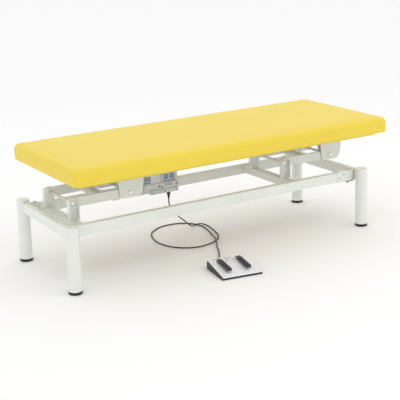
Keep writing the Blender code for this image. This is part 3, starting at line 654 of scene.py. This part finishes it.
def make_cushion():
    low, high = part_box("cushion")
    low = low + Vector((PAD_SWELL, PAD_SWELL, 0.0))
    high = high - Vector((PAD_SWELL, PAD_SWELL, 0.001))
    made = piece("pad", pad_shape(low, high), VINYL, None, 180.0)
    fill_pad(made, low)
    made.data.materials.clear()
    made.data.materials.append(VINYL)
    made.data.shade_smooth()
    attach(made, "top")
    smooth = made.modifiers.new("smooth", "SUBSURF")
    smooth.levels = smooth.render_levels = 1
    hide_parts("cushion")


make_cushion()


# ---------------------------------------------------------------- looks of the frame's own nodes

def dress(look, *starts):
    for name, node in nodes.items():
        if name.startswith(starts):
            node.data.materials.clear()
            node.data.materials.append(look)


dress(STEEL, "leg_", "end_rail", "side_rail", "lift_", "arm_cross", "top_bracket", "top_rail", "top_cross")
dress(STEEL, "actuator_lever")
dress(ZINC, "lower_pivot", "upper_pivot", "actuator_lever_pin", "actuator_rod", "pedal_shaft")
dress(GREY, "actuator_housing", "actuator_motor", "control_box")
dress(PLYWOOD, "top_board")
dress(BLACK, "foot_switch_base")
dress(WHITE, "foot_switch_cover")

SIDES = {"near": -1.0, "far": 1.0}
ENDS = {"left": -1.0, "right": 1.0}

# Places from the centre of the base
LEG_X = 0.82
LEG_Y = 0.2745
LEG_SEAM_RADIUS = 0.0300
LEG_SEAM_Z = 0.3031
LEG_WELD_RADIUS = 0.0306
SIDE_RAIL_Y = 0.222
LIFT_X = {"left": -0.745, "right": 0.435}
LIFT_RAIL_Z = 0.269
LIFT_RAIL_HALF = 0.02
PIVOT_Z = 0.366
CROSS_TUBE_REACH = 0.155

# Bolts
BOLT_ACROSS = 0.0150
BOLT_RADIUS = 0.0048
WASHER_RADIUS = 0.0092
WASHER_THICKNESS = 0.0013


# ---------------------------------------------------------------- base details

def make_feet():
    """Ribbed rubber feet with a thin bright plated ring over them, a painted highlight for the glare line at
    the top of each foot.
    """
    rings = bmesh.new()
    for end_name in ENDS:
        for side_name in SIDES:
            node = f"foot_{side_name}_{end_name}"
            low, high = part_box(node)
            centre = Vector(((low.x + high.x) / 2, (low.y + high.y) / 2, 0.0))
            radius = (high.x - low.x) / 2
            leg_low, leg_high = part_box(f"leg_{side_name}_{end_name}")
            leg_bottom = leg_low.z
            profile = [(0.0, 0.0), (radius - 0.003, 0.0), (radius - 0.001, 0.0012)]
            for ridge in range(3):
                z = 0.0022 + 0.0030 * ridge
                profile += [(radius, z), (radius, z + 0.0018)]
                profile += [(radius - 0.0009, z + 0.0021), (radius - 0.0009, z + 0.0028)]
            profile += [(radius - 0.0016, leg_bottom - 0.0003), (0.0, leg_bottom - 0.0003)]
            bm = bmesh.new()
            add_turned(bm, profile, UP, centre, 48)
            piece(f"rubber_{node}", bm, RUBBER, "base", 30.0)
            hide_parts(node)
            leg_radius = (leg_high.x - leg_low.x) / 2
            # A thin bright ring that paints the glare line where the leg meets its foot.
            band = [
                (leg_radius + 0.0002, leg_bottom + 0.0004),
                (leg_radius + 0.0008, leg_bottom + 0.0008),
                (leg_radius + 0.0008, leg_bottom + 0.0026),
                (leg_radius + 0.0002, leg_bottom + 0.0030),
            ]
            add_turned(rings, band, UP, centre, 48)
    piece("foot_glare_rings", rings, BRIGHT, "base", 30.0)


def make_leg_tops():
    """A rolled weld around each leg's cap."""
    bm = bmesh.new()
    for end in ENDS.values():
        for side in SIDES.values():
            circle = []
            for across, along in unit_circle(48):
                x = end * LEG_X + LEG_SEAM_RADIUS * across
                y = side * LEG_Y + LEG_SEAM_RADIUS * along
                circle.append(at(x, y, LEG_SEAM_Z))
            add_tube(bm, circle, lambda index: 0.0007, 8, True)
    piece("leg_cap_seams", bm, STEEL, "base")


def make_base_welds():
    """Welds of the end rails to the legs and sockets, and of the lift rails and posts."""
    bm = bmesh.new()
    for end_name, end in ENDS.items():
        for side in SIDES.values():
            face = []
            for x, z in ((-0.015, 0.245), (-0.015, 0.295), (0.015, 0.295), (0.015, 0.245)):
                y = side * (LEG_Y - math.sqrt(LEG_WELD_RADIUS ** 2 - x ** 2))
                face.append(at(end * LEG_X + x, y, z))
            add_weld(bm, face, True, 0.0024)
            for offset in (-0.018, 0.018):
                foot = (end * 0.8045, side * SIDE_RAIL_Y + offset)
                add_weld(bm, [at(*foot, 0.2465), at(*foot, 0.2935)])
        x = LIFT_X[end_name]
        for side in SIDES.values():
            y = side * 0.2066
            corners = [at(x + sx * LIFT_RAIL_HALF, y, LIFT_RAIL_Z + sz * LIFT_RAIL_HALF) for sx, sz in SQUARE]
            add_weld(bm, corners, True)
            for y in (0.1238, 0.1285):
                add_weld(bm, [at(x - 0.019, side * y, 0.2894), at(x + 0.019, side * y, 0.2894)], size=0.0018)
    piece("base_welds", bm, STEEL, "base", 60.0)


def make_rail_bolts():
    """Hexagon bolts through the sockets, with washers, nuts and threaded tails."""
    for end_name in ENDS:
        for side_name in SIDES:
            node = f"rail_bolt_{side_name}_{end_name}"
            low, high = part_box(node)
            axis = Vector(((low.x + high.x) / 2, (low.y + high.y) / 2, 0.0))
            top, bottom = high.z - 0.006, low.z + 0.016
            bm = bmesh.new()
            add_hexagon(bm, axis, UP, BOLT_ACROSS, top + 0.0014, high.z)
            add_disc(bm, axis, UP, WASHER_RADIUS, top, top + WASHER_THICKNESS, 32)
            add_hexagon(bm, axis, UP, BOLT_ACROSS, bottom - 0.006, bottom - 0.0014)
            add_disc(bm, axis, UP, WASHER_RADIUS, bottom, bottom - WASHER_THICKNESS, 32)
            thread = [(0.0, low.z), (0.0040, low.z), (BOLT_RADIUS, low.z + 0.0008)]
            for turn in range(6):
                z = low.z + 0.0012 + turn * 0.0014
                thread += [(BOLT_RADIUS, z), (0.0042, z + 0.0007)]
            thread += [(BOLT_RADIUS, bottom - 0.0062), (0.0, bottom - 0.0062)]
            add_turned(bm, thread, UP, axis, 24)
            add_disc(bm, axis, UP, BOLT_RADIUS, bottom, top, 20)
            made = piece(f"{node}_hexagon", bm, ZINC, "base", 28.0)
            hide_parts(node)


def make_socket_details():
    """Set screws and a black strip of painted shadow under the right sockets, and a dark seal where each
    meets its end rail, partly painted shadow of the gap there.
    """
    screws = bmesh.new()
    seals_and_shadow_strip = bmesh.new()
    for side in SIDES.values():
        face = side * 0.2401
        for x, z in ((0.7096, 0.2626), (0.7323, 0.2801)):
            add_screw(screws, at(x, face, z), (0, side, 0), 0.0034, 0.0022)
        # The black strip paints the shadow line in the gap under the socket.
        strip = sorted((side * 0.2360, side * 0.2412))
        add_box(seals_and_shadow_strip, at(0.746, strip[0], 0.2378), at(0.7965, strip[1], 0.2398), 0.0006, 2)
        # Rubber seal rings; their dark colour also paints the shadowed gap where socket and end rail meet.
        for x in (-0.8030, 0.7955):
            corners = [at(x, side * SIDE_RAIL_Y + sy * 0.0181, 0.268 + sz * 0.0281) for sy, sz in SQUARE]
            add_tube(seals_and_shadow_strip, spaced(corners, 0.004, True), lambda index: 0.0011, 8, True)
    piece("socket_screws", screws, DARK_GREY, "base", 30.0)
    piece("socket_seals_and_shadow_strip", seals_and_shadow_strip, RUBBER, "base")


# ---------------------------------------------------------------- lift details

def make_pin_caps():
    """Domed heads with a locking ring on the ends of the four shafts."""
    for level, body in (("lower", "base"), ("upper", "top")):
        for end_name in ENDS:
            low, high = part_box(f"{level}_pivot_shaft_{end_name}")
            x, z = (low.x + high.x) / 2, (low.z + high.z) / 2
            bm = bmesh.new()
            for side in SIDES.values():
                y = high.y if side > 0 else low.y
                dome = [(0.0, -0.0048), (0.0106, -0.0048), (0.0112, -0.0040), (0.0112, 0.0)]
                dome += [(0.0104, 0.0012), (0.0085, 0.0022), (0.0050, 0.0029), (0.0032, 0.0030)]
                dome += [(0.0028, 0.0022), (0.0, 0.0022)]
                add_turned(bm, dome, (0, side, 0), Vector((x, y, z)), 36)
            piece(f"{level}_pin_heads_{end_name}", bm, BRIGHT, body, 30.0)


def add_ring_weld(bm, x, y, radius, size):
    """Adds a weld bead around a cross tube."""
    circle = [at(x + radius * across, y, PIVOT_Z + radius * up) for across, up in unit_circle(72)]
    add_tube(bm, circle, lambda index: size * (1 + 0.15 * math.sin(index * 1.9)), 8, True)


def make_arm_details():
    """Weld rings on the cross tubes, beside the arms and the actuator's lever."""
    for end_name, lift_x in LIFT_X.items():
        bm = bmesh.new()
        x = lift_x + CROSS_TUBE_REACH
        for side in SIDES.values():
            add_ring_weld(bm, x, side * 0.1078, 0.0163, 0.0022)
        if end_name == "left":
            for y in (-0.0058, 0.0058):
                add_ring_weld(bm, x, y, 0.0165, 0.0019)
        piece(f"arm_welds_{end_name}", bm, STEEL, f"{end_name}_arms", 60.0)


def make_top_welds():
    """Welds of the brackets and of the cross members to the top rails."""
    bm = bmesh.new()
    for x in (-0.45, 0.73):
        for side in SIDES.values():
            for y in (0.1004, 0.1294):
                for start in (-0.055, -0.012, 0.031):
                    run = [at(x + start, side * y, 0.4434), at(x + start + 0.024, side * y, 0.4434)]
                    add_weld(bm, run, size=0.0019)
    for x in (-0.145, 0.480):
        for side in SIDES.values():
            for edge in (-0.02, 0.02):
                add_weld(bm, [at(x + edge, side * 0.0995, 0.4445), at(x + edge, side * 0.0995, 0.4765)])
    piece("top_welds", bm, STEEL, "top", 60.0)


# ---------------------------------------------------------------- top details

PLUG_DEPTH = 0.0022
PLUG_INSET = 0.0003
HEM_CORNER = 0.006
STAPLE_INSET = 0.012
STAPLES_ALONG, STAPLES_ACROSS = 38, 14
STAPLE_LONG, STAPLE_THIN = 0.005, 0.0006


def make_rail_plugs():
    """Black end plugs in the open ends of the top rails."""
    bm = bmesh.new()
    for side_name in SIDES:
        low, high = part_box(f"top_rail_{side_name}")
        for start, end in ((low.x - PLUG_DEPTH, low.x), (high.x, high.x + PLUG_DEPTH)):
            near = (start, low.y + PLUG_INSET, low.z + PLUG_INSET)
            far = (end, high.y - PLUG_INSET, high.z - PLUG_INSET)
            add_box(bm, near, far, 0.0010, 2)
    piece("top_rail_end_plugs", bm, BLACK, "top")


def add_staple(bm, x, y, z, half_x, half_y):
    add_box(bm, (x - half_x, y - half_y, z - 0.0006), (x + half_x, y + half_y, z + 0.0002), 0.0002, 1)


def make_cover_wrap():
    """The cover's hem, drawn around the board's edge and stapled under it."""
    low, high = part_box("top_board")
    skin_out = 0.0009
    lip = 0.0200
    middle_x, middle_y = (low.x + high.x) / 2, (low.y + high.y) / 2
    half_x, half_y = (high.x - low.x) / 2, (high.y - low.y) / 2
    section = [(-skin_out, high.z), (-skin_out, low.z + 0.001), (-skin_out * 0.4, low.z - skin_out)]
    section += [(lip, low.z - skin_out), (lip, low.z)]
    hem = bmesh.new()
    rings = []
    for inset, z in section:
        outline = round_outline(middle_x, middle_y, half_x - inset, half_y - inset, HEM_CORNER, 4)
        rings.append([hem.verts.new((x, y, z)) for x, y in outline])
    skin(hem, rings, capped=False)
    piece("cover_hem", hem, VINYL, "top", 50.0)

    staples = bmesh.new()
    z = low.z - skin_out
    row_x, row_y = half_x - STAPLE_INSET, half_y - STAPLE_INSET
    for number in range(STAPLES_ALONG):
        x = middle_x - row_x + 2 * row_x * (number + 0.5) / STAPLES_ALONG
        for y in (middle_y - row_y, middle_y + row_y):
            add_staple(staples, x, y, z, STAPLE_LONG, STAPLE_THIN)
    for number in range(STAPLES_ACROSS):
        y = middle_y - row_y + 2 * row_y * (number + 0.5) / STAPLES_ACROSS
        for x in (middle_x - row_x, middle_x + row_x):
            add_staple(staples, x, y, z, STAPLE_THIN, STAPLE_LONG)
    piece("cover_staples", staples, ZINC, "top")


def make_control_box_details():
    """Lid seams, vents, screws and two blank plates on the control box."""
    low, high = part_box("control_box")
    face = low.y
    split = low.x + 0.090
    seams = bmesh.new()
    corners = [(low.x, low.y), (high.x, low.y), (high.x, high.y), (low.x, high.y)]
    around = [Vector((x, y, low.z + 0.026)) for x, y in corners]
    add_tube(seams, spaced(around, 0.006, True), lambda index: 0.0009, 8, True)
    upright = [Vector((split, face, low.z + 0.027)), Vector((split, face, high.z - 0.001))]
    add_tube(seams, spaced(upright, 0.006), lambda index: 0.0011, 8)
    for number in range(7):
        x = high.x - 0.062 + number * 0.0065
        vent_low, vent_high = (x, face - 0.0006, low.z + 0.007), (x + 0.0024, face + 0.0004, low.z + 0.021)
        add_box(seams, vent_low, vent_high, 0.0004, 1)
    piece("control_box_seams", seams, DARK_GREY, "top")

    screws = bmesh.new()
    for x, z in ((split - 0.009, low.z + 0.010), (split + 0.004, low.z + 0.006)):
        add_screw(screws, Vector((x, face, z)), (0, -1, 0), 0.0040, 0.0020)
    for x in (low.x + 0.008, high.x - 0.008):
        add_screw(screws, Vector((x, face, low.z + 0.036)), (0, -1, 0), 0.0030, 0.0016)
    piece("control_box_screws", screws, BLACK, "top", 30.0)

    borders = bmesh.new()
    plates = bmesh.new()
    panes = bmesh.new()
    for start, end, bottom, top in ((0.002, 0.034, 0.037, 0.072), (0.101, 0.167, 0.034, 0.074)):
        x0, x1, z0, z1 = low.x + start, low.x + end, low.z + bottom, low.z + top
        border_low = (x0 - 0.0012, face - 0.0005, z0 - 0.0050)
        add_box(borders, border_low, (x1 + 0.0012, face + 0.0003, z1 + 0.0012), 0.0002, 1)
        add_box(plates, (x0, face - 0.0009, z0), (x1, face + 0.0003, z1), 0.0002, 1)
        for column in range(2):
            width = (x1 - x0) * 0.36
            left = x0 + (x1 - x0) * (0.08 + 0.48 * column)
            add_box(panes, (left, face - 0.0011, z0 + 0.006), (left + width, face, z1 - 0.008), 0.0001, 1)
    piece("plate_borders", borders, DARK_GREY, "top")
    piece("blank_plates", plates, LABEL, "top")
    piece("blank_panes", panes, PANE, "top")


def make_actuator_details():
    """Housing seam and screws, motor end rings and the sleeve's wiper ring."""
    low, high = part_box("actuator_housing")
    motor_low, motor_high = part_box("actuator_motor")
    axis_y = CENTRE.y
    axis_z = low.z + 0.024
    body_left = CENTRE.x - 0.285
    body_right = CENTRE.x - 0.125
    bm = bmesh.new()
    seam = [
        Vector((body_left + 0.001, axis_y - 0.0242, axis_z)),
        Vector((body_right - 0.001, axis_y - 0.0242, axis_z)),
    ]
    add_tube(bm, spaced(seam, 0.006), lambda index: 0.0008, 8)
    wiper = [(0.0188, 0.0), (0.0188, 0.006), (0.0130, 0.006), (0.0130, 0.0)]
    add_turned(bm, wiper, (1, 0, 0), Vector((low.x - 0.0012, axis_y, axis_z)), 40)
    motor_y, motor_z = (motor_low.y + motor_high.y) / 2, (motor_low.z + motor_high.z) / 2
    band = [(0.0229, 0.0), (0.0229, 0.0022), (0.0222, 0.0022), (0.0222, 0.0)]
    for x in (motor_low.x + 0.012, motor_high.x - 0.014):
        add_turned(bm, band, (1, 0, 0), Vector((x, motor_y, motor_z)), 40)
    piece("actuator_seams", bm, DARK_GREY, "top", 30.0)
    screws = bmesh.new()
    for x in (body_left + 0.014, (body_left + body_right) / 2, body_right - 0.014):
        for z in (axis_z - 0.014, axis_z + 0.014):
            add_screw(screws, Vector((x, axis_y - 0.024, z)), (0, -1, 0), 0.0030, 0.0014)
    piece("actuator_screws", screws, BLACK, "top", 30.0)


# ---------------------------------------------------------------- foot switch details

SWITCH_TURN = math.radians(-9.3)
SWITCH_DEPTH = 0.180
SWITCH_BACK_HEIGHT = 0.036
SWITCH_TOE_HEIGHT = 0.010
COVER_HEIGHT = 0.0413
SWITCH_SLOPE = math.atan2(SWITCH_BACK_HEIGHT - SWITCH_TOE_HEIGHT, SWITCH_DEPTH)
SWITCH_FRAME = Matrix.Translation(at(-0.0841, -0.3689, 0.0)) @ Matrix.Rotation(SWITCH_TURN, 4, "Z")
COVER_LIFT = Matrix.Translation((0.0, 0.0, COVER_HEIGHT))
COVER_FRAME = SWITCH_FRAME @ COVER_LIFT @ Matrix.Rotation(SWITCH_SLOPE, 4, "X")
PEDALS = {"left": -0.054, "right": 0.043}


def make_pedals():
    """Ribbed pedals that widen towards the toe, each turning on its own hinge."""
    for name, x in PEDALS.items():
        bm = bmesh.new()
        stations = [(-0.0345, 0.0104, 0.0070, 0.0130), (-0.0380, 0.0106, 0.0032, 0.0166)]
        stations += [(-0.0440, 0.0108, 0.0034, 0.0176), (-0.0930, 0.0114, 0.0062, 0.0212)]
        stations += [(-0.1515, 0.0120, 0.0098, 0.0256), (-0.1555, 0.0118, 0.0118, 0.0232)]
        edge = 0.0022
        rings = []
        for y, half, low, high in stations:
            loop = [(-half, low + edge), (-half, high - edge), (-half + edge, high), (half - edge, high)]
            loop += [(half, high - edge), (half, low + edge), (half - edge, low), (-half + edge, low)]
            rings.append([bm.verts.new((x + across, y, z)) for across, z in loop])
        skin(bm, rings)
        for number in range(12):
            y = -0.062 - number * 0.0076
            z = 0.0176 + (-y - 0.044) / 0.1075 * 0.0080
            rib_low, rib_high = (x - 0.0092, y - 0.0017, z - 0.0008), (x + 0.0092, y + 0.0017, z + 0.0009)
            add_box(bm, rib_low, rib_high, 0.0006, 2)
        bmesh.ops.transform(bm, matrix=COVER_FRAME, verts=bm.verts)
        made = piece(f"ribbed_pedal_{name}", bm, PEDAL, f"pedal_{name}", 35.0)
        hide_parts(f"pedal_{name}")


def make_switch_details():
    """Corner screws, pedal rims, three plain inlays along the back edge and the cable's entry."""
    screws = bmesh.new()
    for x in (-0.088, 0.095):
        for y in (-0.009, -0.171):
            add_screw(screws, Vector((x, y, -0.0002)), (0, 0, 1), 0.0034, 0.0014)
    bmesh.ops.transform(screws, matrix=COVER_FRAME, verts=screws.verts)
    piece("switch_screws", screws, GREY, "base", 30.0)

    rims = bmesh.new()
    for x in PEDALS.values():
        corners = [(x - 0.0150, -0.030), (x + 0.0150, -0.030), (x + 0.0160, -0.160), (x - 0.0160, -0.160)]
        rim = spaced([Vector((a, b, 0.0002)) for a, b in corners], 0.004, True)
        add_tube(rims, rim, lambda index: 0.0010, 8, True)
    bmesh.ops.transform(rims, matrix=COVER_FRAME, verts=rims.verts)
    piece("switch_rims", rims, WHITE, "base")

    inlays = bmesh.new()
    for start, end in ((-0.073, -0.043), (-0.018, 0.016), (0.037, 0.068)):
        add_box(inlays, (start, -0.0115, -0.0002), (end, -0.0065, 0.0007), 0.0004, 2)
    bmesh.ops.transform(inlays, matrix=COVER_FRAME, verts=inlays.verts)
    piece("switch_inlays", inlays, DARK_GREY, "base")

    collar = bmesh.new()
    profile = [(0.0, -0.002), (0.0058, -0.002), (0.0058, 0.0004)]
    for ridge in range(4):
        y = 0.0014 + ridge * 0.0034
        radius = 0.0052 - ridge * 0.0003
        profile += [(radius, y), (radius, y + 0.0016), (0.0040, y + 0.0020), (0.0040, y + 0.0030)]
    profile += [(0.0036, 0.0155), (0.0, 0.0155)]
    entry = SWITCH_FRAME @ Vector((-0.024, 0.0, 0.016))
    axis = SWITCH_FRAME.to_3x3() @ Vector((0.0, 1.0, 0.0))
    add_turned(collar, profile, axis, entry, 28)
    piece("switch_strain_relief", collar, BLACK, "base", 25.0)


make_feet()
make_leg_tops()
make_base_welds()
make_rail_bolts()
make_socket_details()
make_pin_caps()
make_arm_details()
make_top_welds()
make_rail_plugs()
make_cover_wrap()
make_control_box_details()
make_actuator_details()
make_pedals()
make_switch_details()


# ---------------------------------------------------------------- floor, light and background

def make_studio():
    """A plain white floor and background with three soft lamps."""
    bm = bmesh.new()
    bmesh.ops.create_grid(bm, x_segments=8, y_segments=8, size=30.0)
    mesh = bpy.data.meshes.new("studio_floor")
    bm.to_mesh(mesh)
    bm.free()
    made, tree, shader = shader_graph("studio_floor")
    shader.inputs["Base Color"].default_value = (0.95, 0.95, 0.95, 1.0)
    shader.inputs["Roughness"].default_value = 0.85
    shader.inputs["Specular IOR Level"].default_value = 0.1
    mesh.materials.append(made)
    floor = bpy.data.objects.new("studio_floor", mesh)
    floor.location = (0.0, 0.0, -0.0004)
    bpy.context.scene.collection.objects.link(floor)

    world = bpy.data.worlds.new("studio")
    world.use_nodes = True
    background = world.node_tree.nodes["Background"]
    background.inputs["Color"].default_value = (1.0, 1.0, 1.0, 1.0)
    background.inputs["Strength"].default_value = 1.0
    bpy.context.scene.world = world

    lamps = [
        ("key", (1.8, -3.2, 3.4), 3.2, 14.0),
        ("fill", (-3.6, -2.6, 2.2), 3.0, 2.0),
        ("over", (0.2, 1.0, 3.8), 3.6, 7.0),
    ]
    for name, place, size, power in lamps:
        data = bpy.data.lights.new(name, "AREA")
        data.shape = "DISK"
        data.size = size
        data.energy = power
        lamp = bpy.data.objects.new(name, data)
        lamp.location = place
        aim = Vector((0.0, 0.0, 0.3)) - Vector(place)
        lamp.rotation_euler = aim.to_track_quat("-Z", "Y").to_euler()
        bpy.context.scene.collection.objects.link(lamp)


make_studio()
bpy.context.scene.view_settings.view_transform = "Standard"
